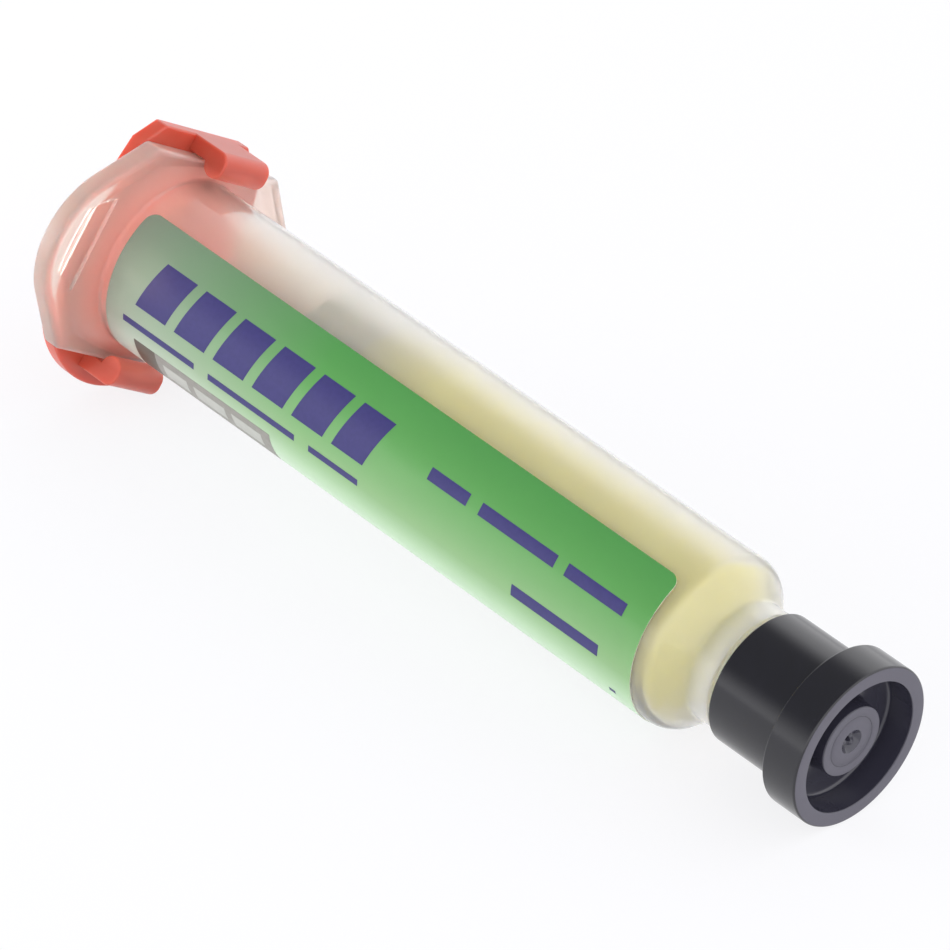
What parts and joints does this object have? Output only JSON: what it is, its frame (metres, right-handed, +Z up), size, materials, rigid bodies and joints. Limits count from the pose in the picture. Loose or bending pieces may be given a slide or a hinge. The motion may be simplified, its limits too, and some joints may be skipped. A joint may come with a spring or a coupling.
{
  "type": "flux syringe",
  "caption": "Prefilled paste syringe with finger wings, a luer-lock nozzle under a twist-off tip cap, a loose inner piston, and a push-on end cap that closes the barrel.",
  "frame": {"origin": "under the middle of the syringe as it lies, on the table", "axes": "+X towards the nozzle along the table, +Z up; the barrel's axis dips towards the nozzle by 3.51 degrees"},
  "size_m": [0.0978, 0.032, 0.0293],
  "materials": {
    "barrel": "translucent moulded polypropylene",
    "label": "printed film",
    "flux": "soft paste",
    "piston": "moulded polyethylene",
    "end_cap": "moulded polyethylene",
    "tip_cap": "moulded polypropylene"
  },
  "bodies": {
    "barrel": {"barrel": "barrel", "label": "label", "flux": "flux"},
    "piston": {"piston": "piston"},
    "tip_cap": {"tip_cap": "tip_cap"},
    "end_cap": {"end_cap": "end_cap"}
  },
  "joints": [
    {"name": "piston_slide", "type": "slide", "parent": "barrel", "child": "piston", "axis": [0.9981, 0, -0.0611], "range_m": [0, 0.044], "deforming": ["flux"]},
    {"name": "tip_cap_pull", "type": "slide", "parent": "barrel", "child": "tip_cap", "axis": [0.9981, 0, -0.0611], "range_m": [0, 0.016]},
    {"name": "end_cap_pull", "type": "slide", "parent": "barrel", "child": "end_cap", "axis": [-0.9981, 0, 0.0611], "range_m": [0, 0.02], "deforming": ["end_cap"]}
  ]
}
